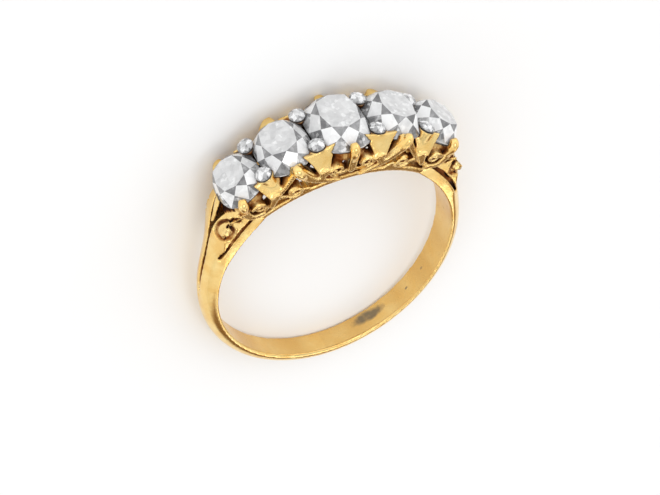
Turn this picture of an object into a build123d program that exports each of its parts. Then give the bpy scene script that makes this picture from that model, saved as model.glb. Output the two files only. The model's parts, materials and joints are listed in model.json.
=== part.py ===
# Five stone ring: a carved half-hoop in yellow gold, modelled in the ring's own axes.
# +X runs along the row of stones, +Y from the finger towards the stones, +Z along the finger.
# The finished ring is turned about X so that it rests on its side on the floor.
import os
from math import sin, cos, tan, asin, radians, degrees, atan, hypot
from build123d import *

os.makedirs("parts", exist_ok=True)

# Driving sizes in millimetres and degrees
BORE_R = 8.5
SHANK_BACK_W = 1.77
SHANK_BACK_T = 1.0
SHOULDER_W = 3.60
SHOULDER_T = 2.70
HEAD_H = 2.95
STONE_TOUCH = 0.04
SEAT_GAP = 0.03
GIRDLE_T = 0.10
WALL_LEAN = 14.2
WALL_OUT = 0.22
WALL_T = 0.62
RELIEF = 0.20
RAIL_H = 0.45
STRAP_W = 0.50
CLAW_R = 0.33
TAIL_T = 0.45
BACK_RISE = 0.40
GROOVE_W = 0.20
GROOVE_DEPTH = 0.35
EDGE_SHARE = 0.14
BED_DEPTH = 0.95
POINT_D = 1.15
POINT_CROWN = 0.22
POINT_PAVILION = 0.42

# Stones from the middle outwards: length along the row, depth along the finger, crown, pavilion, table share
STONES = [
    (4.10, 5.00, 1.32, 1.90, 0.62),
    (3.70, 4.36, 1.20, 1.70, 0.61),
    (3.40, 3.90, 1.10, 1.55, 0.60),
]

# The stones sit side by side on a circle through their girdles
GIRDLE_RHO = BORE_R + HEAD_H
STEP_1 = 2 * degrees(asin(((STONES[0][0] + STONES[1][0]) / 2 + STONE_TOUCH) / 2 / GIRDLE_RHO))
STEP_2 = 2 * degrees(asin(((STONES[1][0] + STONES[2][0]) / 2 + STONE_TOUCH) / 2 / GIRDLE_RHO))
STONE_PHI = [-STEP_1 - STEP_2, -STEP_1, 0.0, STEP_1, STEP_1 + STEP_2]
ROW = [STONES[2], STONES[1], STONES[0], STONES[1], STONES[2]]

# A leaning wall: its lean in degrees, and z and y of a line that its face passes through
WALL = (WALL_LEAN, STONES[0][1] / 2 + WALL_OUT, GIRDLE_RHO - 0.25)
SHOULDER_WALL = (4.0, SHOULDER_W * 0.475, BORE_R * 0.9)

# Shank from the shoulder (0) to the back (1): place, share of shoulder thickness, of shoulder width,
# and how far up its sides are flat
SHANK = [
    (0.000, 1.000, 0.70, 0.88),
    (0.043, 0.930, 0.78, 0.89),
    (0.086, 0.760, 0.76, 0.87),
    (0.130, 0.500, 0.70, 0.74),
    (0.173, 0.260, 0.62, 0.52),
    (0.223, 0.100, 0.54, 0.36),
    (0.324, 0.000, 0.43, 0.22),
    (0.510, -0.045, 0.235, EDGE_SHARE),
    (0.755, -0.030, 0.05, EDGE_SHARE),
    (1.000, 0.000, 0.00, EDGE_SHARE),
]
SHANK_START = STONE_PHI[4] + 3.4


def polar(phi, rho, z=0.0):
    """Point at angle phi from the head, radius rho from the finger axis."""
    return Vector(rho * sin(radians(phi)), rho * cos(radians(phi)), z)


def along(place):
    """Angle of a place counted in stones from the middle one."""
    side = -1 if place < 0 else 1
    place = abs(place)
    if place <= 1:
        return side * place * STEP_1
    return side * (STEP_1 + (place - 1) * STEP_2)


def spot(place, height, z=0.0):
    """Point by place along the row and share of the head's height above the finger hole."""
    return polar(along(place), BORE_R + height * HEAD_H, z)


def wall_z(y, wall):
    """How far out the face of a leaning wall is at y."""
    lean, z_ref, y_ref = wall
    return z_ref + tan(radians(lean)) * (y - y_ref)


def wall_point(x, y, wall):
    return Vector(x, y, wall_z(y, wall))


def closed_wire(points):
    return Wire.make_polygon(points, close=True)


def smooth_path(knots, steps):
    """Catmull-Rom points with widths through knots given as (x, y, width)."""
    pts = [knots[0]] + list(knots) + [knots[-1]]
    out = []
    for p0, p1, p2, p3 in zip(pts, pts[1:], pts[2:], pts[3:]):
        for s in range(steps):
            t = s / steps
            out.append(tuple(
                0.5 * (2 * b + (c - a) * t + (2 * a - 5 * b + 4 * c - d) * t * t
                       + (3 * b - a - 3 * c + d) * t ** 3)
                for a, b, c, d in zip(p0, p1, p2, p3)))
    out.append(tuple(knots[-1]))
    return out


def stroke(points, wall):
    """Flat band of varying width along a path of (x, y, width), drawn on a leaning wall."""
    left, right = [], []
    last = len(points) - 1
    for i, (x, y, w) in enumerate(points):
        xa, ya, _ = points[max(i - 1, 0)]
        xb, yb, _ = points[min(i + 1, last)]
        n = hypot(xb - xa, yb - ya)
        nx, ny = -(yb - ya) / n, (xb - xa) / n
        left.append(wall_point(x + nx * w / 2, y + ny * w / 2, wall))
        right.append(wall_point(x - nx * w / 2, y - ny * w / 2, wall))

    def cap(i, j):
        """Tip of the round end at point i, away from point j."""
        (xi, yi, w), (xj, yj, _) = points[i], points[j]
        n = hypot(xi - xj, yi - yj)
        return wall_point(xi + (xi - xj) / n * w * 0.42, yi + (yi - yj) / n * w * 0.42, wall)

    return Face(Wire([
        Edge.make_spline(left),
        Edge.make_three_point_arc(left[-1], cap(-1, -2), right[-1]),
        Edge.make_spline(list(reversed(right))),
        Edge.make_three_point_arc(right[0], cap(0, 1), left[0]),
    ]))


def strap(knots, wall=WALL, steps=3):
    """Stroke through knots given as (place, height share, width share)."""
    flat = []
    for place, height, w in knots:
        p = spot(place, height)
        flat.append((p.X, p.Y, w * STRAP_W))
    return stroke(smooth_path(flat, steps), wall)


def volute(place, height, size, turn_from, turns, hand, wall=WALL):
    """Spiral ridge winding in round a centre; size is a share of the strap width."""
    c = spot(place, height)
    phi = along(place)
    r_out = size * STRAP_W
    count = int(turns * 9)
    points = []
    for i in range(count + 1):
        t = i / count
        r = r_out * (1 - 0.80 * t)
        a = radians(90 - phi + turn_from + hand * 360 * turns * t)
        points.append((c.X + r * cos(a), c.Y + r * sin(a), STRAP_W * (0.46 - 0.10 * t)))
    return stroke(points, wall)


def disc(place, height, size, wall=WALL):
    """Round plate or boss; size is its radius as a share of the strap width."""
    c = spot(place, height)
    lean = radians(wall[0])
    plane = Plane(origin=wall_point(c.X, c.Y, wall), x_dir=(1, 0, 0), z_dir=(0, -sin(lean), cos(lean)))
    return Face(Wire.make_circle(size * STRAP_W, plane))


def raised(faces, wall, under, over):
    """Solids from flat work on a wall, from under its face to over it."""
    lean = radians(wall[0])
    out = Vector(0, -sin(lean), cos(lean))
    region = faces[0].fuse(*faces[1:]) if len(faces) > 1 else faces[0]
    flat = [region] if isinstance(region, Face) else list(region.faces())
    return [Solid.extrude(f.moved(Location(out * -under)), out * (under + over)) for f in flat]


def fishtail(middle, tip_a, tip_b, notch, waist, waist_half, hollow, lean):
    """Double claw: a plate that widens to two tips and leans in over two stones.

    hollow is how far its sides curve in.
    """
    neck = spot(middle, waist)
    plate_wall = (-lean, wall_z(neck.Y, WALL) + RELIEF * 0.8, neck.Y)

    def on_plate(place, height):
        p = spot(place, height)
        return wall_point(p.X, p.Y, plate_wall)

    top = max(tip_a[1], tip_b[1])
    a, b = on_plate(*tip_a), on_plate(*tip_b)
    n = on_plate(*notch)
    low_a, low_b = on_plate(middle - waist_half, waist), on_plate(middle + waist_half, waist)
    mid_h = waist + (top - waist) * 0.46
    side_a = on_plate(middle - waist_half + (tip_a[0] - middle + waist_half) * hollow, mid_h)
    side_b = on_plate(middle + waist_half + (tip_b[0] - middle - waist_half) * hollow, mid_h)
    face = Face(Wire([
        Edge.make_three_point_arc(a, n, b),
        Edge.make_three_point_arc(b, side_b, low_b),
        Edge.make_line(low_b, low_a),
        Edge.make_three_point_arc(low_a, side_a, a),
    ]))
    return raised([face], plate_wall, TAIL_T, 0.0)


def bent_claw(knots):
    """Claw lofted through circles at (place, height share, distance out from the wall face, radius share)."""
    pts = []
    for place, height, out, _ in knots:
        p = spot(place, height)
        pts.append(Vector(p.X, p.Y, wall_z(p.Y, WALL) + out))
    wires = []
    for i, p in enumerate(pts):
        a, b = pts[max(i - 1, 0)], pts[min(i + 1, len(pts) - 1)]
        wires.append(Wire.make_circle(knots[i][3] * CLAW_R, Plane(origin=p, z_dir=b - a)))
    return Solid.make_loft(wires, False)


def groove(place, height, radius, start, sweep, wall):
    """Narrow groove round a boss on a wall, from an angle off the outward direction."""
    c = spot(place, height)
    points = []
    for i in range(13):
        a = radians(90 - along(place) + start + sweep * i / 12)
        points.append((c.X + radius * cos(a), c.Y + radius * sin(a), GROOVE_W * (1.0 - 0.45 * (i / 6 - 1) ** 2)))
    return raised([stroke(points, wall)], wall, GROOVE_DEPTH, GROOVE_DEPTH)


def both_sides(shapes):
    """The shapes and their mirror images left to right."""
    return list(shapes) + [s.mirror(Plane.YZ) for s in shapes]


def cut_facet(body, p, q, r):
    """Grind a flat through three points, keeping the side where the origin is."""
    n = (q - p).cross(r - p).normalized()
    if n.dot(p) < 0:
        n = n * -1
    kept = body.split(Plane(origin=p, z_dir=n), keep=Keep.BOTTOM)
    return kept if isinstance(kept, Solid) else kept.solids()[0]


def facet_stone(length, depth, crown, pavilion, table, grow=0.0):
    """Old cut cushion stone, girdle at z = 0 and table facing +Z."""
    hl, ha = length / 2 + grow, depth / 2 + grow
    g = GIRDLE_T / 2 + grow / 2
    top = g + crown + grow / 2
    bottom = -(g + pavilion + grow)
    culet = 0.10
    bulge = 0.10

    def at(k, share, z):
        """Point in the direction of girdle corner k of 32, a share of the way out."""
        a = radians(k * 11.25)
        swell = 1.0 + bulge * sin(2 * a) ** 2
        return Vector(hl * cos(a) * swell * share, ha * sin(a) * swell * share, z)

    stone = Solid.extrude(Face(closed_wire([at(k, 1.0, bottom) for k in range(32)])), Vector(0, 0, top - bottom))
    for k in range(0, 32, 4):
        side = at(k + 4, 1.0, 0) - at(k - 4, 1.0, 0)
        for inner, outer in ((at(k, table, top), at(k, 1.0, g)), (at(k, culet, bottom), at(k, 1.0, -g))):
            stone = cut_facet(stone, inner, outer, inner + side)
    for k in range(2, 32, 4):
        star = at(k, table + (1 - table) * 0.42, g + (top - g) * 0.60)
        stone = cut_facet(stone, at(k - 2, table, top), at(k + 2, table, top), star)
        lower = at(k, 0.42, -g - (pavilion + grow) * 0.60)
        for apex, z in ((star, g), (lower, -g)):
            stone = cut_facet(stone, apex, at(k, 1.0, z), at(k - 2, 1.0, z))
            stone = cut_facet(stone, apex, at(k, 1.0, z), at(k + 2, 1.0, z))
    return stone


def facet_point(grow=0.0):
    """Small single cut stone: table, eight crown facets, eight pavilion facets."""
    r = POINT_D / 2 + grow
    g = GIRDLE_T * 0.3 + grow / 2
    top, bottom = g + POINT_CROWN + grow / 2, -(g + POINT_PAVILION + grow)

    def at(k, share, z):
        a = radians(22.5 * k)
        return Vector(r * share * cos(a), r * share * sin(a), z)

    stone = Solid.extrude(Face(closed_wire([at(k, 1.0, bottom) for k in range(16)])), Vector(0, 0, top - bottom))
    for k in range(0, 16, 2):
        side = at(k + 4, 1.0, 0)
        for share, z, edge in ((0.60, top, g), (0.06, bottom, -g)):
            inner = at(k, share, z)
            stone = cut_facet(stone, inner, at(k, 1.0, edge), inner + side)
    return stone


def seat(solid, phi, rho, z=0.0):
    """Put a stone cut about the origin into the row, table outwards."""
    out = polar(phi, 1.0)
    return solid.moved(Location(Plane(origin=polar(phi, rho, z), x_dir=(out.Y, -out.X, 0), z_dir=(out.X, out.Y, 0))))


# Stones, and slightly enlarged copies that cut their seats
stones, seats = [], []
for sizes, phi in zip(ROW, STONE_PHI):
    stones.append(seat(facet_stone(*sizes), phi, GIRDLE_RHO))
    seats.append(seat(facet_stone(*sizes, SEAT_GAP), phi, GIRDLE_RHO))

# Points sit in the gaps between the large stones, outside the chord of their girdles
POINT_PHI = [-along(1.53), -along(0.53), along(0.53), along(1.53)]
POINT_OUT = [STONES[1][1] * 0.325, STONES[0][1] * 0.302, STONES[0][1] * 0.302, STONES[1][1] * 0.325]
POINT_RHO = GIRDLE_RHO + 0.60
points_front, points_back = [], []
for phi, out in zip(POINT_PHI, POINT_OUT):
    points_front.append(seat(facet_point(), phi, POINT_RHO, out))
    points_back.append(seat(facet_point(), phi, POINT_RHO, -out))
    seats.append(seat(facet_point(SEAT_GAP), phi, POINT_RHO, out))
    seats.append(seat(facet_point(SEAT_GAP), phi, POINT_RHO, -out))


# Shank with solid shoulders, flat inside and rounded outside
def shank_section(sign, place, thick_share, wide_share, flat_share):
    phi = sign * (SHANK_START + (180 - SHANK_START) * place)
    t = SHANK_BACK_T + (SHOULDER_T - SHANK_BACK_T) * thick_share
    half = (SHANK_BACK_W + (SHOULDER_W - SHANK_BACK_W) * wide_share) / 2
    low, side, crest = BORE_R - 0.25, BORE_R + flat_share * t, BORE_R + t
    return Wire([
        Edge.make_line(polar(phi, low, -half), polar(phi, low, half)),
        Edge.make_line(polar(phi, low, half), polar(phi, side, half)),
        Edge.make_three_point_arc(polar(phi, side, half), polar(phi, crest, 0), polar(phi, side, -half)),
        Edge.make_line(polar(phi, side, -half), polar(phi, low, -half)),
    ])


sections = [shank_section(-1, *row) for row in SHANK] + [shank_section(1, *row) for row in reversed(SHANK[:-1])]
shank = Solid.make_loft(sections, False)

# Fork between the front and back branches of each shoulder, running out as a groove along the outside:
# place, height share of its floor, half width at the floor and at the top, as shares of the strap width
FORK = [
    (2.10, 0.14, 1.90, 2.40),
    (2.70, 0.15, 1.10, 1.50),
    (3.10, 0.18, 0.36, 0.62),
    (3.60, 0.21, 0.18, 0.34),
    (4.40, 0.23, 0.20, 0.38),
    (5.00, 0.26, 0.12, 0.26),
    (5.40, 0.31, 0.03, 0.08),
]
fork = Solid.make_loft([
    closed_wire([spot(p, low, -a * STRAP_W), spot(p, low, a * STRAP_W), spot(p, 1.4, b * STRAP_W),
                 spot(p, 1.4, -b * STRAP_W)])
    for p, low, a, b in FORK], False)

# Slot between each shoulder's outer branch and the rail along the finger hole
slot_face = strap([(2.34, 0.30, 0.4), (2.65, 0.30, 0.6), (3.05, 0.29, 0.56), (3.40, 0.275, 0.46),
                   (3.70, 0.265, 0.3)], (0.0, -SHOULDER_W, 0.0))
slot = Solid.extrude(slot_face, Vector(0, 0, 2 * SHOULDER_W))
shank = shank.cut(*both_sides([fork, slot]))

# Front gallery: straps and rail level with the wall
low_work = both_sides([
    strap([(0.96, 1.02, 1.2), (0.89, 0.88, 1.1), (0.79, 0.64, 1.0), (0.63, 0.40, 1.0), (0.41, 0.24, 0.75),
           (0.20, 0.13, 0.6)]),
    strap([(1.05, 1.02, 1.0), (1.18, 0.87, 0.8), (1.36, 0.66, 0.75), (1.58, 0.50, 0.85), (1.80, 0.37, 0.9),
           (2.05, 0.29, 0.8), (2.41, 0.19, 0.7)]),
    disc(0.30, 0.56, 1.04),
    disc(1.20, 0.39, 1.00),
    disc(2.00, 0.60, 0.94),
    strap([(0.0, 0.42, 0.85), (0.16, 0.31, 0.7), (0.36, 0.34, 0.7), (0.59, 0.41, 0.85)]),
    strap([(0.92, 0.17, 0.7), (1.05, 0.24, 0.8), (1.27, 0.20, 0.8), (1.49, 0.36, 0.7), (1.66, 0.46, 0.7)]),
])
rail_rho = BORE_R - 0.1 + (RAIL_H + 0.1) / 2
low_work.append(stroke([(rail_rho * sin(radians(a * SHANK_START / 5)), rail_rho * cos(radians(a * SHANK_START / 5)),
                         RAIL_H + 0.1) for a in range(-6, 7)], WALL))

# Volutes, claw stems and the stems of the fishtails stand proud of the wall
high_work = both_sides([
    volute(0.30, 0.56, 1.12, 200, 1.3, 1),
    volute(1.20, 0.39, 1.08, 250, 1.3, -1),
    volute(2.00, 0.60, 1.00, -60, 1.3, 1),
    strap([(2.14, 1.00, 0.95), (2.23, 0.88, 1.05), (2.29, 0.64, 1.05), (2.26, 0.42, 0.9), (2.05, 0.32, 0.7)]),
    strap([(0.97, 1.00, 1.3), (0.93, 0.84, 1.3), (0.84, 0.64, 1.1), (0.68, 0.43, 0.95), (0.46, 0.27, 0.75),
           (0.24, 0.15, 0.45)]),
    strap([(0.555, 0.66, 1.55), (0.59, 0.56, 1.2), (0.63, 0.44, 0.85), (0.64, 0.36, 0.7)]),
    strap([(1.60, 0.64, 1.45), (1.66, 0.55, 1.1), (1.74, 0.45, 0.85), (1.80, 0.36, 0.7)]),
])
high_work.append(strap([(0.0, 1.00, 1.3), (0.0, 0.84, 1.25), (0.0, 0.64, 1.15), (0.0, 0.41, 1.0)]))
front = raised(low_work, WALL, WALL_T, 0.0) + raised(high_work, WALL, WALL_T, RELIEF)


def claws(rise):
    """Fishtail double claws between the stones and rounded claws over their middles; rise scales how far
    they stand over the girdles."""
    def high(height):
        return 0.96 + (height - 0.96) * rise

    def tail(middle, tip_a, tip_b, notch, *shape):
        return fishtail(middle, (tip_a[0], high(tip_a[1])), (tip_b[0], high(tip_b[1])),
                        (notch[0], high(notch[1])), *shape)

    def claw(*knots):
        return bent_claw([(place, high(h) if h > 0.96 else h, out, r) for place, h, out, r in knots])

    tails = tail(0.55, (0.22, 1.24), (0.82, 1.23), (0.52, 1.165), 0.69, 0.115, 0.38, 22.0)
    tails += tail(1.58, (1.17, 1.22), (1.78, 1.20), (1.49, 1.145), 0.67, 0.13, 0.46, 25.0)
    return both_sides(tails) + [
        claw((0, 0.72, -0.12, 0.8), (0, 0.96, -0.02, 1.05), (0, 1.14, -0.16, 1.05), (0, 1.21, -0.48, 0.7)),
    ] + both_sides([
        claw((0.92, 0.72, -0.12, 0.8), (0.97, 0.94, -0.02, 1.05), (1.00, 1.12, -0.14, 1.05),
             (1.01, 1.19, -0.44, 0.7)),
        claw((2.24, 0.74, -0.14, 0.8), (2.20, 0.96, 0.06, 1.0), (2.13, 1.13, 0.0, 1.0),
             (2.08, 1.19, -0.28, 0.7)),
    ])


# Scroll on the side of each shoulder: a curling rim round a boss, with a groove cut between them
EYE = (2.86, 0.60)
scroll = raised(both_sides([
    strap([(2.28, 0.56, 0.6), (2.46, 0.69, 0.6), (2.66, 0.78, 0.5)], SHOULDER_WALL),
    disc(*EYE, 1.10, SHOULDER_WALL),
]), SHOULDER_WALL, 0.32, 0.04)
grooves = both_sides(groove(*EYE, 0.42, 185, 265, SHOULDER_WALL))
grooves += [piece.mirror(Plane.XY) for piece in grooves]
back = [piece.mirror(Plane.XY) for piece in front + claws(BACK_RISE)]
front += scroll + claws(1.0)

# Beds under the stones and posts under the points
beds = []
for (length, depth, *_), phi in zip(ROW, STONE_PHI):
    rim = [Vector(0.475 * length * cos(radians(15 * k)), 0.475 * depth * sin(radians(15 * k)), -BED_DEPTH)
           for k in range(24)]
    bed = Solid.extrude(Face(closed_wire(rim)), Vector(0, 0, BED_DEPTH - GIRDLE_T / 2))
    beds.append(seat(bed, phi, GIRDLE_RHO))
post_top = -0.10
post = Solid.make_cylinder(POINT_D / 2 + 0.06, BED_DEPTH + post_top + 0.4,
                           Plane(origin=(0, 0, -BED_DEPTH - 0.4), z_dir=(0, 0, 1)))
for phi, out in zip(POINT_PHI, POINT_OUT):
    beds.append(seat(post, phi, POINT_RHO, out))
    beds.append(seat(post, phi, POINT_RHO, -out))

bore = Solid.make_cylinder(BORE_R, 6 * SHOULDER_W, Plane(origin=(0, 0, -3 * SHOULDER_W), z_dir=(0, 0, 1)))
gold = shank.fuse(*front, *back, *beds)
gold = gold.cut(bore, *seats, *grooves)
pieces = sorted(gold.solids(), key=lambda s: s.volume, reverse=True)
print("gold solids", [round(p.volume, 3) for p in pieces])
gold = pieces[0]

# Rest on the side: the back of the shank and the outermost claw share the floor
claw = spot(0, 0.96)
head_low_z = wall_z(claw.Y, WALL) - 0.02 + 1.05 * CLAW_R
back_low_y = BORE_R + EDGE_SHARE * SHANK_BACK_T
rest_tilt = degrees(atan((head_low_z - SHANK_BACK_W / 2) / (claw.Y + back_low_y)))
print("rest tilt", rest_tilt)

nodes = {"gold_mount": gold}
for family, group in (("stone", stones), ("point_front", points_front), ("point_back", points_back)):
    for number, solid in enumerate(group, 1):
        nodes[f"{family}_{number}"] = solid
for name, solid in nodes.items():
    export_step(solid.moved(Location((0, 0, 0), (rest_tilt, 0, 0))), f"parts/{name}.step")
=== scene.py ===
"""Five stone ring: carved half hoop in worn yellow gold with old cut stones, lying on its side."""
import json
import math

import bpy
from bpy.props import FloatProperty, FloatVectorProperty, IntProperty, PointerProperty
from mathutils import Matrix, Vector
from mathutils.bvhtree import BVHTree


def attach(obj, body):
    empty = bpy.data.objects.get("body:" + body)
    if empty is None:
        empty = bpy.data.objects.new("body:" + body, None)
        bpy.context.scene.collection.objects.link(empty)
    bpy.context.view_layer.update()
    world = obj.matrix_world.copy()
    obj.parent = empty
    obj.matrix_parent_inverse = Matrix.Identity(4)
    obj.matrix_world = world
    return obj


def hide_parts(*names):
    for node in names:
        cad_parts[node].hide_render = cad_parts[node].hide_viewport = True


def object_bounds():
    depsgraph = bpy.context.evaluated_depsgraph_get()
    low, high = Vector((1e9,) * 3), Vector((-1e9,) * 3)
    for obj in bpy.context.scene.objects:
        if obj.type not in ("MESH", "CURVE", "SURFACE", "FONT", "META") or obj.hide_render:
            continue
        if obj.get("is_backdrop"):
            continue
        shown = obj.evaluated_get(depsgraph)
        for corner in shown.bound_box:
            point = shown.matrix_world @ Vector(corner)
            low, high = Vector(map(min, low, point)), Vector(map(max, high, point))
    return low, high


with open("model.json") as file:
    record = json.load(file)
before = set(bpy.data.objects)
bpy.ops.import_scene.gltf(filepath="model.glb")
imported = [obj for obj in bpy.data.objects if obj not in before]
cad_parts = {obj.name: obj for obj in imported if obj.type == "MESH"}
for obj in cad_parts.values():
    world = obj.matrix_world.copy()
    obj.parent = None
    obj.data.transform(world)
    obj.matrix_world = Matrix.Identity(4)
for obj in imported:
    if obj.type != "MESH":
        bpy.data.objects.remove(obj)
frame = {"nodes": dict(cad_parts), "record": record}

bl_info = {
    "name": "Five stone ring",
    "version": (1, 0, 0),
    "blender": (4, 5, 0),
    "location": "3D View > Sidebar > Ring",
    "description": "Carved gold half hoop ring with five old cut stones on a pale floor",
    "category": "Object",
}

MM = 0.001

# The finger hole's axis leans from straight up by the angle at which the ring rests. The row of stones runs
# along X, and headward is from the hole to the middle stone.
BORE = frame["record"]["mounts"][0]
BORE_RADIUS = BORE["dims"]["r_mm"] * MM
HOLE_AXIS = Vector(BORE["axis"]).normalized()
ROW = Vector((1.0, 0.0, 0.0))
HEADWARD = HOLE_AXIS.cross(ROW).normalized()

# The CAD nodes that are stones, large and small
STONE_NAMES = [name for name in frame["nodes"] if name.startswith(("stone_", "point_"))]

# The photograph: its frame, where the finger hole's centre lies in it, and how the ring is turned in it
PHOTO_WIDTH = 660
PHOTO_HEIGHT = 495
HOLE_CENTRE_X = 328.2
HOLE_CENTRE_Y = 250.4
PIXELS_PER_MM = 15.04
TURN = math.radians(27.89)
PITCH = math.radians(44.57)
ROLL = math.radians(-4.04)

# Directions in the photograph: rightwards, upwards and towards the camera
VIEW = Matrix.Rotation(ROLL, 3, "Z") @ Matrix.Rotation(PITCH, 3, "X") @ Matrix.Rotation(TURN, 3, "Y")
RIGHT, UP, TO_CAMERA = (ROW * VIEW[i][0] + HEADWARD * VIEW[i][1] + HOLE_AXIS * VIEW[i][2] for i in range(3))

# Camera: its distance from the finger hole, sensor, and the nearest and farthest places that it sees
CAMERA_DISTANCE = 50 * BORE_RADIUS
SENSOR_WIDTH = 36.0
CAMERA_CLIP = (0.01, 10.0)

# Down to the smoothing, lengths are in millimetres. Phi is an angle in degrees round the hole from the head,
# and rho a distance from the hole's axis. A place along the hole is above 0 on the side that the photograph
# shows.

# The left shoulder's carving is mirrored on the right one. A place on it is a pair: how far it lies to the
# right of the hole's centre and above it in the photograph. Only what is above CARVE_FROM along the hole and
# within CARVE_REACH of the scroll's middle is carved.
CARVE_FROM = 0.2
CARVE_REACH = 3.0

# Pocket beside the end stone: its corners, its depth, how low its floor may lie along the hole, and how far
# inside its outline the cut and then the dirt and painted shade begin and are full
POCKET = ((-7.29, 2.32), (-6.82, 3.66), (-6.03, 2.55))
POCKET_DEPTH = 1.0
POCKET_FLOOR = 0.1
POCKET_CUT_SPAN = (-0.02, 0.08)
POCKET_DIRT_AND_SHADE_SPAN = (-0.02, 0.06)

# How dark the dirt and painted shade in the pocket and in the scroll's groove are, added to the share of
# light kept out
POCKET_DIRT_AND_SHADE = 0.45
GROOVE_DIRT_AND_SHADE = 0.10

# Scroll: its middle, then its groove's half width, depth, shares of the half width that are fully deep and
# fully dark with dirt and painted shade, how far from the middle it cuts, and the least share of facing the
# camera at which it does
SCROLL = (-6.74, 1.31)
GROOVE_HALF = 0.17
GROOVE_DEPTH = 0.25
GROOVE_DEEP_SHARE = 0.4
GROOVE_DIRT_AND_SHADE_SHARE = 0.5
GROOVE_LIMIT = 1.4
GROOVE_FACING = 0.1

# Line of the groove from the scroll's middle: two points of its tail, then a turn that begins at an angle in
# degrees, sweeps on, and curls inwards by a share of its reach over the last shares of the sweep
TAIL = ((0.95, 0.62), (0.50, 0.68))
CURL_REACH = 0.62
CURL_FROM = 75
CURL_SWEEP = 350
CURL_STEPS = 24
CURL_INWARDS = 0.6
CURL_SPAN = (0.78, 1.05)

# Boss inside the scroll: the rho that it may reach, the share of what stands over that is pressed in, and
# the spans along the hole and in phi over which the press sets in
BOSS_RHO = 10.60
BOSS_PRESS = 0.8
BOSS_ALONG_SPAN = (0.7, 1.0)
BOSS_PHI_SPAN = (49.0, 51.0)

# Disc that fills the solid's own wide cut round the scroll: its middle, radius, the rho that it may reach,
# and its span along the hole
FILL_PHI = 53.37
FILL_RHO = 10.27
FILL_RADIUS = 0.54
FILL_LIMIT = 10.66
FILL_ALONG = (1.15, 1.58)
FILL_CORNERS = 24

# Strip that floors the slot in each shoulder: its spans, then the phi from which its top falls, and its fall
# for each degree
SLOT_PHI = (43.5, 67.0)
SLOT_RHO = (9.1, 9.65)
SLOT_ALONG = (0.7, 1.33)
SLOT_FALL_FROM = 59.0
SLOT_FALL = 0.055
SLOT_STEPS = 12

# Bar between the fork and the pocket: right, above and radius, all at one place along the hole
BAR = (
    (-7.57, 1.93, 0.13),
    (-7.40, 2.39, 0.17),
    (-7.20, 3.07, 0.25),
    (-7.06, 3.64, 0.22),
    (-6.97, 4.04, 0.16),
)
BAR_ALONG = 0.05
BAR_CORNERS = 10

# Far side claws: the rho above which they are pressed down, by what share, and the span along the hole, on
# the far side, over which the press sets in
CLAW_RHO = 11.55
CLAW_PRESS = 0.85
CLAW_SPAN = (1.0, 1.6)

# Smoothing: rounds all over, then rounds on the plain band, which begins over a span of phi
SOFTEN_ROUNDS = 3
POLISH_ROUNDS = 24
POLISH_PHI_SPAN = (66.0, 74.0)

# Painted shade and seats on the gold, in metres: how near a stone its grey seat begins, how far off and by
# how many rays other pieces are felt for the painted shade, how far off the surface the rays start, and how
# much less a piece counts at a ray's end
SEAT_REACH = 0.22 * MM
RECESS_REACH = 1.4 * MM
RECESS_RAYS = 14
RAY_START = 0.02 * MM
RAY_FADE = 0.6

# Spans of the share of light kept out over which brown dirt with painted shade and then near black painted
# shade set in, and of the nearness to a stone over which the seat does
DIRT_AND_SHADE_SPAN = (0.24, 0.48)
PAINTED_SHADE_SPAN = (0.44, 0.66)
SEAT_SPAN = (0.4, 0.75)
# Near black of the painted shade deep in the recesses
PAINTED_SHADE_COLOUR = (0.03, 0.009, 0.004)

# What wear leaves of the gold's red, green and blue
WORN_SHARES = (0.92, 0.80, 0.62)

# Spans that are stretched to 0..1: of soft noise, of the stain after noise has broken it up, of the noise
# that shows as fine roughness, and of the random numbers of the cells that are painted as glints on the
# stones
NOISE_SPAN = (0.35, 0.65)
BLOT_SPAN = (0.30, 1.05)
FINE_SPAN = (0.4, 0.7)
PAINTED_GLINT_SPAN = (0.86, 0.90)

# The inside of the band ends over this span of millimetres outside the hole's radius
INSIDE_SPAN = (0.03, 0.09)

# Stains inside the band: phi, half length in degrees, millimetres along the hole, half width in millimetres.
# Each thins out over a span of its squared distance, counted in half sizes.
STAINS = (
    (155.5, 8.5, -0.22, 0.42),
    (121.8, 0.9, -0.13, 0.10),
    (133.7, 0.9, -0.02, 0.09),
)
STAIN_SPAN = (0.3, 1.8)

# The stones have eight main facets. Shares of the way out to the girdle, of the crown's height and of the
# pavilion's depth say where the corners lie, and SWELL is how far the outline swells towards a square.
MAINS = 8
TABLE_SHARE = 0.64
STAR_SHARE = 0.79
STAR_HEIGHT = 0.66
LOWER_SHARE = 0.62
LOWER_DEPTH = 0.42
CULET_SHARE = 0.10
SWELL = 0.10
POINT_TABLE_SHARE = 0.42
POINT_STAR_SHARE = 0.78
POINT_STAR_HEIGHT = 0.55
POINT_CULET_SHARE = 0.06

# A corner this close to the farthest one along the hole is on the girdle
GIRDLE_NEAR = 0.001 * MM

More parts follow.
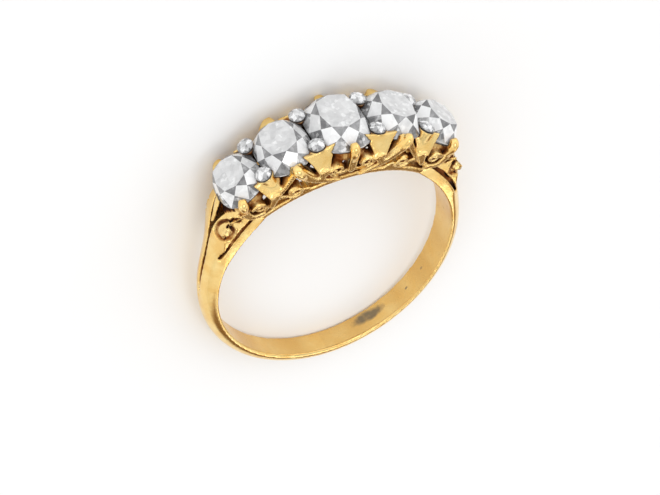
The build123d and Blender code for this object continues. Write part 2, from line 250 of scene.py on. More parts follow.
# How each kind of facet looks, as painted light for the stone's reflections: its painted light, how far that
# differs from facet to facet, and how much painted flash, cloud and glint break it up. The difference is a
# wave, and the steps are how far on it the next facet and the next stone are.
FACET_STEP = 2.4
STONE_STEP = 1.7
STONE_FACETS = {
    "table": (0.64, 0.0, 0.16),
    "star": (0.10, 0.08, 0.10),
    "kite": (0.90, 0.12, 0.12),
    "first half": (0.16, 0.14, 0.30),
    "second half": (0.22, 0.20, 0.40),
    "girdle": (0.45, 0.25, 0.3),
    "lower kite": (0.6, 0.3, 0.5),
    "lower corner": (0.3, 0.0, 0.5),
    "lower first half": (0.35, 0.3, 0.5),
    "lower second half": (0.35, -0.3, 0.5),
    "culet": (0.5, 0.0, 0.5),
}
POINT_FACETS = {
    "table": (0.66, 0.0, 0.7),
    "star": (0.62, 0.38, 0.5),
    "kite": (0.55, 0.40, 0.4),
    "first half": (0.15, 0.15, 0.25),
    "second half": (0.25, 0.20, 0.25),
    "girdle": (0.15, 0.0, 0.2),
    "lower facet": (0.3, 0.0, 0.5),
    "culet": (0.4, 0.0, 0.5),
}

# Half the floor's side in metres
FLOOR_HALF = 0.6

# Soft boxes of light: place, width and height in metres, then power in watts
SOFT_BOXES = {
    "top_box": ((0.02, 0.06, 0.40), (0.14, 0.09), 0.13),
    "front_box": ((0.12, -0.34, 0.14), (0.12, 0.05), 0.05),
    "left_box": ((-0.34, -0.10, 0.16), (0.05, 0.12), 0.05),
    "right_box": ((0.28, 0.22, 0.10), (0.04, 0.10), 0.03),
}


class Socket:
    """A value, colour or vector in a node tree that can be used in Python sums."""

    def __init__(self, tree, link):
        self.tree = tree
        self.link = link

    def _math(self, operation, *values):
        return self.tree.add("ShaderNodeMath", {"operation": operation}, *values).out()

    def __add__(self, other):
        return self._math("ADD", self, other)

    __radd__ = __add__

    def __mul__(self, other):
        return self._math("MULTIPLY", self, other)

    __rmul__ = __mul__

    def __sub__(self, other):
        return self._math("SUBTRACT", self, other)

    def __rsub__(self, other):
        return self._math("SUBTRACT", other, self)

    def __truediv__(self, other):
        return self._math("DIVIDE", self, other)

    def __rtruediv__(self, other):
        return self._math("DIVIDE", other, self)

    def __pow__(self, other):
        return self._math("POWER", self, other)

    def __rpow__(self, other):
        return self._math("POWER", other, self)

    def degrees_from(self, other):
        """Angle in degrees from the other one's axis to a place with these two coordinates."""
        return self._math("ARCTAN2", self, other) * (180 / math.pi)

    def ramp(self, low, high, to_low=0.0, to_high=1.0):
        """Map low..high to to_low..to_high, held at the ends."""
        return self.tree.add("ShaderNodeMapRange", {"clamp": True}, self, low, high, to_low, to_high).out()

    def fade(self, low, high):
        """Map low..high to 1..0, held at the ends."""
        return self.ramp(low, high, 1.0, 0.0)


class Node:
    """A node just made, with its outputs by number or name."""

    def __init__(self, tree, node):
        self.tree = tree
        self.node = node

    def out(self, key=0):
        return Socket(self.tree, self.node.outputs[key])


class Tree:
    """A node tree that nodes are added to by type, settings and socket values."""

    def __init__(self, owner):
        owner.use_nodes = True
        self.nodes = owner.node_tree.nodes
        self.links = owner.node_tree.links
        self.nodes.clear()

    def add(self, kind, settings=None, *values, **named):
        """A new node, with its sockets' values or links in order, where None leaves one be, or by name."""
        node = self.nodes.new(kind)
        for key, value in (settings or {}).items():
            setattr(node, key, value)
        for index, value in enumerate(values):
            self.feed(node.inputs[index], value)
        for name, value in named.items():
            self.feed(node.inputs[name.replace("_", " ")], value)
        return Node(self, node)

    def feed(self, socket, value):
        if isinstance(value, Socket):
            self.links.new(value.link, socket)
        elif value is not None:
            socket.default_value = (*value, 1.0) if socket.type == "RGBA" else value

    def surface(self, **sockets):
        """The material's shader and its output."""
        shader = self.add("ShaderNodeBsdfPrincipled", None, **sockets)
        self.add("ShaderNodeOutputMaterial", None, shader.out())

    def mix(self, share, first, second):
        """Colour between first and second, which are the node's seventh and eighth sockets."""
        return self.add("ShaderNodeMix", {"data_type": "RGBA"}, share, *[None] * 5, first, second).out(2)

    def millimetres(self):
        """Place on the object in millimetres."""
        place = self.add("ShaderNodeTexCoord").out("Object")
        return self.add("ShaderNodeVectorMath", {"operation": "SCALE"}, place, Scale=1 / MM).out()

    def dot(self, vector, axis):
        """Length of vector along an axis."""
        return self.add("ShaderNodeVectorMath", {"operation": "DOT_PRODUCT"}, vector, axis).out("Value")

    def noise(self, place, scale, detail):
        """Soft clouds with a scale in waves per unit of place."""
        node = self.add("ShaderNodeTexNoise", Vector=place, Scale=scale, Detail=detail, Roughness=0.55)
        return node.out("Fac")

    def cells(self, place, scale):
        """Cells that each have their own steady numbers, as the parts of a colour."""
        cells = self.add("ShaderNodeTexVoronoi", {"feature": "F1"}, Vector=place, Scale=scale)
        return self.add("ShaderNodeSeparateColor", None, cells.out("Color"))

    def value(self, name):
        """A number stored on the mesh."""
        return self.add("ShaderNodeAttribute", {"attribute_name": name}).out("Fac")


def colour_setting(name, description, default):
    """A colour that a user would change."""
    return FloatVectorProperty(name=name, description=description, subtype="COLOR", size=3, min=0.0, max=1.0,
                               default=default)


class RingSettings(bpy.types.PropertyGroup):
    """Sizes and colours that a user would change."""
    cast_grain: FloatProperty(
        name="Cast grain", description="Size of the smallest detail kept in the gold", subtype="DISTANCE",
        default=0.065 * MM, min=0.03 * MM, max=0.3 * MM)
    cast_triangles: IntProperty(
        name="Gold triangles", description="Most triangles in the gold",
        default=190000, min=20000, max=199000)
    gold_colour: colour_setting("Gold", "Polished yellow gold", (0.95, 0.71, 0.30))
    # Brown of the dirt and painted shade in the recesses
    dirt_colour: colour_setting("Recesses", "Old polish and wear in the recesses", (0.27, 0.08, 0.012))
    seat_colour: colour_setting("Seats", "Grey lining round the stones", (0.13, 0.105, 0.085))
    # Duller gold inside the band: partly a less polished inside, partly painted reflection of the ring's far
    # side
    inside_colour: colour_setting("Inside", "Duller gold inside the band", (0.72, 0.44, 0.14))
    stain_colour: colour_setting("Stain", "Grey stain inside the band", (0.13, 0.125, 0.11))
    # Stone facet colours are painted light: bright and dark reflections inside the stones
    bright_facets: colour_setting("Bright facets", "Stone facets that throw light back", (0.97, 0.975, 0.98))
    dark_facets: colour_setting("Dark facets", "Stone facets that let light through", (0.14, 0.14, 0.145))
    floor_colour: colour_setting("Floor", "Pale floor", (0.93, 0.93, 0.93))


def inside_wear_and_reflection(tree, mm):
    """Where the surface is inside the band, how near it is to a stain, and its phi."""
    row = tree.dot(mm, ROW)
    head = tree.dot(mm, HEADWARD)
    along = tree.dot(mm, HOLE_AXIS)
    rho = (row * row + head * head) ** 0.5
    inside = rho.fade(*(BORE_RADIUS / MM + more for more in INSIDE_SPAN))
    phi = row.degrees_from(head)
    stained = 0.0
    for middle, half_length, place, half_width in STAINS:
        across = (phi - middle) / half_length
        over = (along - place) / half_width
        stained = (across * across + over * over).fade(*STAIN_SPAN) + stained
    return inside, stained, phi


def gold_material(settings):
    """Worn polished gold: brown dirt and near black painted shade in the recesses, grey seats, a duller
    inside with painted reflection streaks and a stain, and fine scratches.
    """
    material = bpy.data.materials.new("worn_gold")
    tree = Tree(material)
    mm = tree.millimetres()
    cloud = tree.noise(mm, scale=0.9, detail=4.0)
    fine = tree.noise(mm, scale=9.0, detail=3.0)
    blots = tree.noise(mm, scale=1.5, detail=4.0)
    dents = tree.noise(mm, scale=2.2, detail=2.0)
    brushed = tree.add("ShaderNodeMapping", None, Vector=mm, Scale=(1.5, 14.0, 3.0)).out()
    scratches = tree.noise(brushed, scale=4.0, detail=2.0)
    inside, stained, phi = inside_wear_and_reflection(tree, mm)
    reflection_streaks = tree.noise(tree.add("ShaderNodeCombineXYZ", None, phi).out(), scale=0.07, detail=0.0)

    recess = tree.value("recess")
    # Brown dirt and painted shade where light is kept out, broken up by noise
    dirt_and_shade = (recess + (cloud - 0.5) * 0.25).ramp(*DIRT_AND_SHADE_SPAN)
    # Near black painted shade where most light is kept out
    dark = recess.ramp(*PAINTED_SHADE_SPAN)
    seat = tree.value("seat").ramp(*SEAT_SPAN)
    stain = (stained + (blots - 0.5) * 1.8).ramp(*BLOT_SPAN) * inside
    # Duller inside the band with painted reflection streaks that vary round the hole
    dull_and_reflection = inside * (0.35 + reflection_streaks.ramp(*NOISE_SPAN) * 0.5)

    gold = tuple(settings.gold_colour)
    worn = tuple(part * share for part, share in zip(gold, WORN_SHARES))
    colour = tree.mix(cloud.ramp(*NOISE_SPAN), gold, worn)
    colour = tree.mix(dull_and_reflection, colour, settings.inside_colour)
    colour = tree.mix(dirt_and_shade, colour, settings.dirt_colour)
    colour = tree.mix(dark, colour, PAINTED_SHADE_COLOUR)
    colour = tree.mix(seat, colour, settings.seat_colour)
    colour = tree.mix(stain * 0.8, colour, settings.stain_colour)

    metal = 1 - dirt_and_shade * 0.45 - stain * 0.5
    rough = 0.13 + fine.ramp(*FINE_SPAN) * 0.08 + dirt_and_shade * 0.35 + stain * 0.4 + inside * 0.08
    height = scratches * 0.3 + fine * 0.4 + dents - stain * 0.6
    bump = tree.add("ShaderNodeBump", None, Strength=0.20, Distance=0.04 * MM, Height=height).out()
    tree.surface(Base_Color=colour, Metallic=metal, Roughness=rough, Normal=bump, Specular_IOR_Level=0.15)
    return material


def stone_material(settings):
    """Old cut stone with painted light: facets painted bright, grey or dark for the stone's reflections,
    with painted soft clouds, flashes and small glints.
    """
    material = bpy.data.materials.new("clear_stone_facets")
    tree = Tree(material)
    mm = tree.millimetres()
    # Painted light in the stones: flashes, glints and soft clouds added to each facet's painted light
    painted_flash = tree.cells(mm, scale=2.6).out("Red") - 0.5
    painted_glint = tree.cells(mm, scale=4.5).out("Green").ramp(*PAINTED_GLINT_SPAN)
    cloud = tree.noise(mm, scale=1.6, detail=3.0) - 0.5
    broken = tree.value("broken")
    light = tree.value("light") + painted_flash * broken + cloud * (0.4 + broken * 0.6) + painted_glint * broken * 1.1
    colour = tree.mix(light.ramp(0.0, 1.0), settings.dark_facets, settings.bright_facets)
    tree.surface(Base_Color=colour, Roughness=0.02, IOR=1.7, Transmission_Weight=0.10)
    return material


def new_object(name, data):
    piece = bpy.data.objects.new(name, data)
    bpy.context.scene.collection.objects.link(piece)
    return piece


def mesh_lists(meshes):
    """Corners and faces of several meshes in one list each."""
    corners, faces = [], []
    for mesh in meshes:
        first = len(corners)
        corners += [v.co for v in mesh.vertices]
        faces += [[first + i for i in p.vertices] for p in mesh.polygons]
    return corners, faces


def between(value, low, high):
    """Share of the way from low to high, held at 0 and 1."""
    return min(max((value - low) / (high - low), 0.0), 1.0)


def outwards(side, phi):
    """Direction away from the finger hole on one side."""
    return ROW * (side * math.sin(math.radians(phi))) + HEADWARD * math.cos(math.radians(phi))


def ring_place(point):
    """Phi, rho and place along the hole, with phi below 0 on the left."""
    along = point.dot(HOLE_AXIS)
    across = point - HOLE_AXIS * along
    return math.degrees(math.atan2(across.dot(ROW), across.dot(HEADWARD))), across.length, along


def circle(centre, first, second, radius, count):
    """Corners round a circle that lies along two directions."""
    turns = [2 * math.pi * k / count for k in range(count)]
    return [centre + (first * math.cos(turn) + second * math.sin(turn)) * radius for turn in turns]


def tube(sections, flip):
    """Corners and faces of a closed tube through sections alike in number of corners; flip turns it over."""
    around = len(sections[0])
    faces = [list(range(around - 1, -1, -1)), [(len(sections) - 1) * around + j for j in range(around)]]
    for i in range(len(sections) - 1):
        for j in range(around):
            k = (j + 1) % around
            faces.append([i * around + j, i * around + k, (i + 1) * around + k, (i + 1) * around + j])
    corners = [corner for section in sections for corner in section]
    return corners, [list(reversed(f)) for f in faces] if flip else faces


def scroll_fill(side):
    """Disc in the solid's wide cut round one scroll, held inside the shoulder's outline."""
    rim = circle(outwards(side, FILL_PHI) * FILL_RHO, ROW, HEADWARD, FILL_RADIUS, FILL_CORNERS)
    rim = [point * min(FILL_LIMIT / point.length, 1.0) for point in rim]
    return tube([[point + HOLE_AXIS * along for point in rim] for along in FILL_ALONG], False)


def slot_floor(side):
    """Strip that closes the slot in one shoulder below its rims."""
    sections = []
    for i in range(SLOT_STEPS + 1):
        phi = SLOT_PHI[0] + (SLOT_PHI[1] - SLOT_PHI[0]) * i / SLOT_STEPS
        low, high = SLOT_ALONG[0], SLOT_ALONG[1] - max(phi - SLOT_FALL_FROM, 0.0) * SLOT_FALL
        inner, outer = (outwards(side, phi) * rho for rho in SLOT_RHO)
        sections.append([inner + HOLE_AXIS * low, outer + HOLE_AXIS * low,
                         outer + HOLE_AXIS * high, inner + HOLE_AXIS * high])
    return tube(sections, side > 0)


def fork_bar(side):
    """Rounded bar in the fork of one shoulder."""
    line = []
    for right, above, _ in BAR:
        flat = RIGHT * right + UP * above
        line.append(flat + TO_CAMERA * ((BAR_ALONG - flat.dot(HOLE_AXIS)) / TO_CAMERA.dot(HOLE_AXIS)))
    sections = []
    for i, (_, _, radius) in enumerate(BAR):
        ahead = (line[min(i + 1, len(BAR) - 1)] - line[max(i - 1, 0)]).normalized()
        first = ahead.cross(HOLE_AXIS).normalized()
        rim = circle(line[i], first, first.cross(ahead), radius, BAR_CORNERS)
        sections.append([Vector((-side * p.x, p.y, p.z)) for p in rim])
    return tube(sections, side < 0)


def as_left(vector, point):
    """A vector at a point on either shoulder as it is on the left one."""
    return Vector((-vector.x if point.x > 0 else vector.x, vector.y, vector.z))


def photo_place(point):
    """Where a point lies in the photograph, after folding the right shoulder onto the left one."""
    left = as_left(point, point)
    return Vector((left.dot(RIGHT), left.dot(UP)))


def groove_line():
    """Line of the scroll's groove in the photograph: in from its tail, once round and inwards."""
    line = [Vector(p) for p in TAIL]
    for i in range(CURL_STEPS + 1):
        share = i / CURL_STEPS
        turn = math.radians(CURL_FROM + CURL_SWEEP * i / CURL_STEPS)
        reach = CURL_REACH * (1.0 - CURL_INWARDS * between(share, *CURL_SPAN))
        line.append(Vector((math.cos(turn), math.sin(turn))) * reach)
    return [Vector(SCROLL) + p for p in line]


def gap_to_line(here, line):
    """Distance from a point to the nearest part of a line."""
    gaps = []
    for first, second in zip(line, line[1:]):
        run = second - first
        share = between((here - first).dot(run), 0.0, run.length_squared)
        gaps.append((here - first - run * share).length)
    return min(gaps)


def depth_in_pocket(here):
    """How far inside the pocket's outline a point is, less than 0 outside it."""
    corners = [Vector(p) for p in POCKET]
    middle = sum(corners, Vector((0.0, 0.0))) / 3
    depths = []
    for first, second in zip(corners, corners[1:] + corners[:1]):
        edge = (second - first).normalized()
        inward = Vector((-edge.y, edge.x))
        if inward.dot(middle - first) < 0:
            inward = -inward
        depths.append(inward.dot(here - first))
    return min(depths)


def in_groove(here, line, flat_share):
    """1 on the flat share of the groove's half width, 0 at its edge."""
    return 1.0 - between(gap_to_line(here, line), GROOVE_HALF * flat_share, GROOVE_HALF)


def carving_dirt_and_shade(point, line):
    """Dirt and painted shade in the carving of the shoulders at a point."""
    here = photo_place(point)
    if point.dot(HOLE_AXIS) < POCKET_FLOOR or (here - line[-1]).length > CARVE_REACH:
        return 0.0
    return max(POCKET_DIRT_AND_SHADE * between(depth_in_pocket(here), *POCKET_DIRT_AND_SHADE_SPAN),
               GROOVE_DIRT_AND_SHADE * in_groove(here, line, GROOVE_DIRT_AND_SHADE_SHARE))


def press_in(vertex, phi, depth):
    """Move a vertex towards the hole's axis where depth is above 0."""
    if depth > 0:
        vertex.co -= outwards(1.0, phi) * depth


def carve_shoulders(mesh):
    """Press the pocket and the scroll's groove into the near side of both shoulders, and their bosses in."""
    line = groove_line()
    middle = Vector(SCROLL)
    moves = []
    for vertex in mesh.vertices:
        here = photo_place(vertex.co)
        along = vertex.co.dot(HOLE_AXIS)
        if along < CARVE_FROM or (here - middle).length > CARVE_REACH:
            continue
        depth = min(POCKET_DEPTH * between(depth_in_pocket(here), *POCKET_CUT_SPAN),
                    max(along - POCKET_FLOOR, 0.0))
        move = HOLE_AXIS * depth
        facing = as_left(vertex.normal, vertex.co).dot(TO_CAMERA)
        if facing > GROOVE_FACING and (here - middle).length < GROOVE_LIMIT:
            move = move + vertex.normal * (GROOVE_DEPTH * in_groove(here, line, GROOVE_DEEP_SHARE))
        moves.append((vertex, move))
    for vertex, move in moves:
        vertex.co -= move
        phi, rho, along = ring_place(vertex.co)
        over = (rho - BOSS_RHO) * between(along, *BOSS_ALONG_SPAN) * between(abs(phi), *BOSS_PHI_SPAN)
        press_in(vertex, phi, over * BOSS_PRESS)


def lower_far_claws(mesh):
    """Press down what stands above the stones' edges on the far side, as on worn claws."""
    for vertex in mesh.vertices:
        phi, rho, along = ring_place(vertex.co)
        press_in(vertex, phi, (rho - CLAW_RHO) * between(-along, *CLAW_SPAN) * CLAW_PRESS)


def modify(piece, kind, **settings):
    """Add a modifier of a kind with its settings."""
    modifier = piece.modifiers.new(kind.lower(), kind)
    for key, value in settings.items():
        setattr(modifier, key, value)


def modified_mesh(piece):
    """The piece's mesh with its modifiers applied, which are then taken off."""
    graph = bpy.context.evaluated_depsgraph_get()
    mesh = bpy.data.meshes.new_from_object(piece.evaluated_get(graph), depsgraph=graph)
    piece.modifiers.clear()
    return mesh


def filled_mesh(node):
    """A CAD node's mesh in millimetres, with the scroll fills, slot floors and fork bars laid into it."""
    solid = node.data.copy()
    solid.transform(Matrix.Scale(1.0 / MM, 4))
    corners, faces = mesh_lists([solid])
    for more, shell in [make(side) for make in (scroll_fill, slot_floor, fork_bar) for side in (-1, 1)]:
        faces += [[len(corners) + i for i in face] for face in shell]
        corners += more
    mesh = bpy.data.meshes.new("cast_work")
    mesh.from_pydata(corners, [], faces)
    return mesh


def cast_mesh(node, grain, most_triangles):
    """A softened, carved and polished copy of a CAD node's mesh."""
    work = new_object("cast_work", filled_mesh(node))
    modify(work, "REMESH", mode="VOXEL", voxel_size=grain / MM, use_smooth_shade=True)
    modify(work, "SMOOTH", factor=0.5, iterations=SOFTEN_ROUNDS)
    mesh = modified_mesh(work)
    carve_shoulders(mesh)
    lower_far_claws(mesh)
    work.data = mesh
    band = work.vertex_groups.new(name="band")
    for vertex in mesh.vertices:
        weight = between(abs(ring_place(vertex.co)[0]), *POLISH_PHI_SPAN)
        if weight > 0:
            band.add([vertex.index], weight, "REPLACE")
    modify(work, "SMOOTH", factor=0.5, iterations=POLISH_ROUNDS, vertex_group="band")
    triangles = sum(len(p.vertices) - 2 for p in mesh.polygons)
    if triangles > most_triangles:
        modify(work, "DECIMATE", ratio=most_triangles / triangles)
    mesh = modified_mesh(work)
    bpy.data.objects.remove(work)
    mesh.transform(Matrix.Scale(MM, 4))
    for polygon in mesh.polygons:
        polygon.use_smooth = True
    return mesh


def ray_fan(count):
    """Directions spread evenly over the upper half of a sphere."""
    golden = math.pi * (3 - math.sqrt(5))
    rays = []
    for i in range(count):
        z = 1 - (i + 0.5) / count
        r = math.sqrt(1 - z * z)
        rays.append(Vector((r * math.cos(golden * i), r * math.sin(golden * i), z)))
    return rays


def mark_shade_and_seats(mesh):
    """Store on each vertex how much light is kept out of it, for the painted shade, and how close it is to a
    stone.
    """
    stones = [frame["nodes"][name].data for name in STONE_NAMES]
    blockers = BVHTree.FromPolygons(*mesh_lists([mesh, *stones]))
    stones_only = BVHTree.FromPolygons(*mesh_lists(stones))
    line = groove_line()
    rays = ray_fan(RECESS_RAYS)
    recess = mesh.attributes.new("recess", "FLOAT", "POINT")
    seat = mesh.attributes.new("seat", "FLOAT", "POINT")
    # Painted shade: the share of rays that other pieces block, plus the carving's dirt and painted shade
    for vertex in mesh.vertices:
        turn = vertex.normal.to_track_quat("Z", "Y")
        start = vertex.co + vertex.normal * RAY_START
        closed = 0.0
        for ray in rays:
            hit = blockers.ray_cast(start, turn @ ray, RECESS_REACH)[3]
            if hit is not None:
                closed += 1.0 - RAY_FADE * hit / RECESS_REACH
        recess.data[vertex.index].value = closed / RECESS_RAYS + carving_dirt_and_shade(vertex.co / MM, line)
        gap = stones_only.find_nearest(vertex.co, SEAT_REACH)[3]
        if gap is not None:
            seat.data[vertex.index].value = 1.0 - gap / SEAT_REACH


class Cut:
    """Builds one stone's facets in the place, size and outline of its CAD solid."""

    def __init__(self, node, number, looks):
        corners = [v.co for v in node.data.vertices]
        middle = sum(corners, Vector()) / len(corners)
        self.up = (middle - HOLE_AXIS * middle.dot(HOLE_AXIS)).normalized()
        self.side = HOLE_AXIS.cross(self.up)
        low_side, high_side = self.reach(corners, self.side)
        low_along, high_along = self.reach(corners, HOLE_AXIS)
        self.half_side = (high_side - low_side) / 2
        self.half_along = (high_along - low_along) / 2
        girdle = [c.dot(self.up) for c in corners if c.dot(HOLE_AXIS) > high_along - GIRDLE_NEAR]
        self.culet, self.table = self.reach(corners, self.up)
        self.girdle_low, self.girdle_high = min(girdle), max(girdle)
        self.foot = self.side * (low_side + high_side) / 2 + HOLE_AXIS * (low_along + high_along) / 2
        self.number = number
        self.looks = looks
        self.points = []
        self.faces = []
        self.lights = []

    @staticmethod
    def reach(corners, axis):
        places = [c.dot(axis) for c in corners]
        return min(places), max(places)

    def ring(self, count, first, share, height, swell=0.0):
        """Corners round the stone at a share of the way out; swell squares up the outline."""
        start = len(self.points)
        for k in range(count):
            turn = (first + k) * 2 * math.pi / count
            out = share * (1 + swell * math.sin(2 * turn) ** 2)
            self.points.append(self.foot + self.side * (self.half_side * math.cos(turn) * out)
                               + HOLE_AXIS * (self.half_along * math.sin(turn) * out) + self.up * height)
        return [start + k for k in range(count)]

    def face(self, corners, kind, k=0):
        """Add a facet of one kind with its painted light; k sets that painted light apart from its
        neighbours'.
        """
        light, differs, broken = self.looks[kind]
        self.faces.append(corners)
        self.lights.append((light + differs * math.sin(k * FACET_STEP + self.number * STONE_STEP), broken))

    @staticmethod
    def stretch(line, k):
        """The corners of a line round the girdle from one main facet to the next."""
        step = len(line) // MAINS
        return [line[(step * k + i) % len(line)] for i in range(step + 1)]

    def girdle(self, rim, belt):
        for k in range(len(rim)):
            after = (k + 1) % len(rim)
            self.face([rim[k], belt[k], belt[after], rim[after]], "girdle", k)

    def mesh(self, name):
        mesh = bpy.data.meshes.new(name)
        mesh.from_pydata(self.points, [], self.faces)
        # Each facet's painted light and how much painted flash, cloud and glint it gets
        light = mesh.attributes.new("light", "FLOAT", "FACE")
        broken = mesh.attributes.new("broken", "FLOAT", "FACE")
        for index, values in enumerate(self.lights):
            light.data[index].value, broken.data[index].value = values
        return mesh


def old_cut(node, number, name):
    """Cushion stone: table, eight stars, eight kites, sixteen halves, girdle, pavilion and culet."""
    cut = Cut(node, number, STONE_FACETS)
    crown = cut.table - cut.girdle_high
    pavilion = cut.girdle_low - cut.culet
    flat = cut.ring(MAINS, 0, TABLE_SHARE, cut.table, SWELL)
    star = cut.ring(MAINS, 0.5, STAR_SHARE, cut.girdle_high + crown * STAR_HEIGHT, SWELL)
    rim = cut.ring(4 * MAINS, 0, 1.0, cut.girdle_high, SWELL)
    belt = cut.ring(4 * MAINS, 0, 1.0, cut.girdle_low, SWELL)
    lower = cut.ring(MAINS, 0.5, LOWER_SHARE, cut.girdle_low - pavilion * LOWER_DEPTH, SWELL)
    tip = cut.ring(MAINS, 0, CULET_SHARE, cut.culet)
    cut.face(flat, "table")
    cut.face(tip[::-1], "culet")
    for k in range(MAINS):
        after = (k + 1) % MAINS
        edge, under = cut.stretch(rim, k), cut.stretch(belt, k)
        cut.face([flat[k], star[k], flat[after]], "star", k)
        cut.face([flat[k], star[k - 1], edge[0], star[k]], "kite", k)
        cut.face([star[k], *edge[:3]], "first half", k + 3)
        cut.face([star[k], *edge[2:]], "second half", k + 5)
        cut.face([tip[k], lower[k], under[0], lower[k - 1]], "lower kite", k)
        cut.face([tip[k], tip[after], lower[k]], "lower corner")
        cut.face([lower[k], *under[2::-1]], "lower first half", k)
        cut.face([lower[k], *under[:1:-1]], "lower second half", k)
    cut.girdle(rim, belt)
    return cut.mesh(name)


def point_cut(node, number, name):
    """Small round stone: table, eight stars, eight kites, sixteen halves, girdle, lower facets and culet."""
    cut = Cut(node, number, POINT_FACETS)
    crown = cut.table - cut.girdle_high
    flat = cut.ring(MAINS, 0, POINT_TABLE_SHARE, cut.table)
    star = cut.ring(MAINS, 0.5, POINT_STAR_SHARE, cut.girdle_high + crown * POINT_STAR_HEIGHT)
    rim = cut.ring(2 * MAINS, 0, 1.0, cut.girdle_high)
    belt = cut.ring(2 * MAINS, 0, 1.0, cut.girdle_low)
    tip = cut.ring(MAINS, 0, POINT_CULET_SHARE, cut.culet)
    cut.face(flat, "table")
    cut.face(tip[::-1], "culet")
    for k in range(MAINS):
        after = (k + 1) % MAINS
        edge, under = cut.stretch(rim, k), cut.stretch(belt, k)
        cut.face([flat[k], star[k], flat[after]], "star", k)
        cut.face([flat[k], star[k - 1], edge[0], star[k]], "kite", k + 2)
        cut.face([star[k], *edge[:2]], "first half", k)
        cut.face([star[k], *edge[1:]], "second half", k + 1)
        cut.face([tip[k], tip[after], *under[::-1]], "lower facet")
    cut.girdle(rim, belt)
    return cut.mesh(name)


class RING_OT_gold(bpy.types.Operator):
    """Cast and finish the gold mount, with painted shade in its recesses"""
    bl_idname = "ring.gold"
    bl_label = "Gold mount"

    def execute(self, context):
        settings = context.scene.ring
        mesh = cast_mesh(frame["nodes"]["gold_mount"], settings.cast_grain, settings.cast_triangles)
        mark_shade_and_seats(mesh)
        mesh.materials.clear()
        mesh.materials.append(gold_material(settings))
        piece = new_object("gold_cast", mesh)
        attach(piece, "root")
        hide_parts("gold_mount")
        return {"FINISHED"}


class RING_OT_stones(bpy.types.Operator):
    """Give the large and small stones their facets with painted light"""
    bl_idname = "ring.stones"
    bl_label = "Stones"

    def execute(self, context):
        material = stone_material(context.scene.ring)
        for number, name in enumerate(STONE_NAMES):
            cut = old_cut if name.startswith("stone_") else point_cut
            mesh = cut(frame["nodes"][name], number, name + "_cut")
            mesh.materials.append(material)
            piece = new_object(name + "_cut", mesh)
            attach(piece, "root")
            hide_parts(name)
        return {"FINISHED"}


class RING_OT_stage(bpy.types.Operator):
    """Pale floor, soft studio light and the camera at the photograph's angle"""
    bl_idname = "ring.stage"
    bl_label = "Stage"

    def execute(self, context):
        low_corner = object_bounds()[0]
        make_floor(low_corner[2], context.scene.ring.floor_colour)
        for name, (place, size, power) in SOFT_BOXES.items():
            make_soft_box(name, place, size, power)
        make_room(context.scene)
        make_camera(context.scene)
        return {"FINISHED"}


def make_floor(height, colour):
    mesh = bpy.data.meshes.new("floor")
    corners = [(x * FLOOR_HALF, y * FLOOR_HALF, height) for x, y in ((-1, -1), (1, -1), (1, 1), (-1, 1))]
    mesh.from_pydata(corners, [], [(0, 1, 2, 3)])
    material = bpy.data.materials.new("pale_floor")
    Tree(material).surface(Base_Color=colour, Roughness=0.6)
    mesh.materials.append(material)
    new_object("floor", mesh)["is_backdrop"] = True


def make_soft_box(name, place, size, power):
    light = bpy.data.lights.new(name, "AREA")
    light.shape = "RECTANGLE"
    light.size, light.size_y = size
    light.energy = power
    lamp = new_object(name, light)
    lamp.location = place
    lamp.rotation_euler = (-Vector(place)).to_track_quat("-Z", "Y").to_euler()


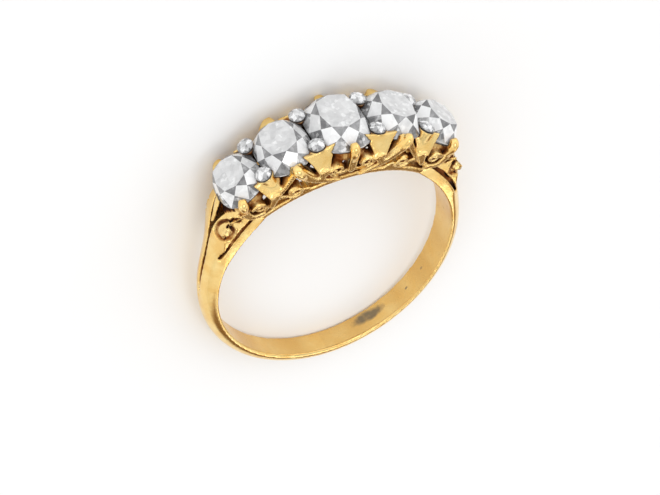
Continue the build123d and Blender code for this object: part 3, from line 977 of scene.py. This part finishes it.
def make_room(scene):
    """Bright room: warm and dark low in front, with a dark slit high up and a top that darkens to the right.

    The spans are of a direction's parts along X (side), Y (headward) and Z (height).
    """
    world = bpy.data.worlds.new("studio")
    scene.world = world
    tree = Tree(world)
    direction = tree.add("ShaderNodeTexCoord").out("Generated")
    parts = tree.add("ShaderNodeSeparateXYZ", None, direction)
    side, headward, height = (parts.out(axis) for axis in "XYZ")
    low_front = headward.fade(-0.80, -0.50) * height.fade(0.36, 0.50) * side.ramp(-0.50, -0.30)
    slit = height.ramp(0.74, 0.78) * height.fade(0.84, 0.88)
    top = height.ramp(0.80, 0.90) * side.ramp(-0.35, 0.25, 0.0, 0.16)
    strength = 0.90 + height.ramp(0.0, 0.5) * 0.14 + headward.ramp(-0.2, 0.6) * 0.30
    strength = strength * (1 - low_front * 0.75) * (1 - slit * 0.45) * (1 - top)
    tint = tree.mix(low_front, (1.0, 1.0, 1.0), (1.0, 0.62, 0.32))
    sky = tree.add("ShaderNodeBackground", None, Color=tint, Strength=strength)
    tree.add("ShaderNodeOutputWorld", None, sky.out())
    scene.view_settings.view_transform = "Standard"


def make_camera(scene):
    """Camera at the photograph's angle to the ring, rolled with it, above the floor."""
    shift_x = (PHOTO_WIDTH / 2 - HOLE_CENTRE_X) / PIXELS_PER_MM * MM
    shift_y = (HOLE_CENTRE_Y - PHOTO_HEIGHT / 2) / PIXELS_PER_MM * MM
    camera = bpy.data.cameras.new("photo_camera")
    camera.sensor_width = SENSOR_WIDTH
    camera.lens = PIXELS_PER_MM / MM * CAMERA_DISTANCE * SENSOR_WIDTH / PHOTO_WIDTH
    camera.clip_start, camera.clip_end = CAMERA_CLIP
    holder = new_object("photo_camera", camera)
    holder.matrix_world = Matrix((RIGHT, UP, TO_CAMERA)).transposed().to_4x4()
    holder.matrix_world.translation = TO_CAMERA * CAMERA_DISTANCE + RIGHT * shift_x + UP * shift_y
    scene.camera = holder


class RING_PT_panel(bpy.types.Panel):
    """Lists the ring's sizes and colours, then its pieces"""
    bl_idname = "RING_PT_panel"
    bl_label = "Five stone ring"
    bl_space_type = "VIEW_3D"
    bl_region_type = "UI"
    bl_category = "Ring"

    def draw(self, context):
        settings = context.scene.ring
        for name in RingSettings.__annotations__:
            self.layout.prop(settings, name)
        for operator in OPERATORS:
            self.layout.operator(operator.bl_idname)


OPERATORS = (RING_OT_gold, RING_OT_stones, RING_OT_stage)
CLASSES = (RingSettings, *OPERATORS, RING_PT_panel)


def register():
    for item in CLASSES:
        bpy.utils.register_class(item)
    bpy.types.Scene.ring = PointerProperty(type=RingSettings)


def unregister():
    del bpy.types.Scene.ring
    for item in reversed(CLASSES):
        bpy.utils.unregister_class(item)


def main():
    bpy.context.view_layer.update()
    register()
    bpy.ops.ring.gold()
    bpy.ops.ring.stones()
    bpy.ops.ring.stage()


if __name__ == "__main__":
    main()
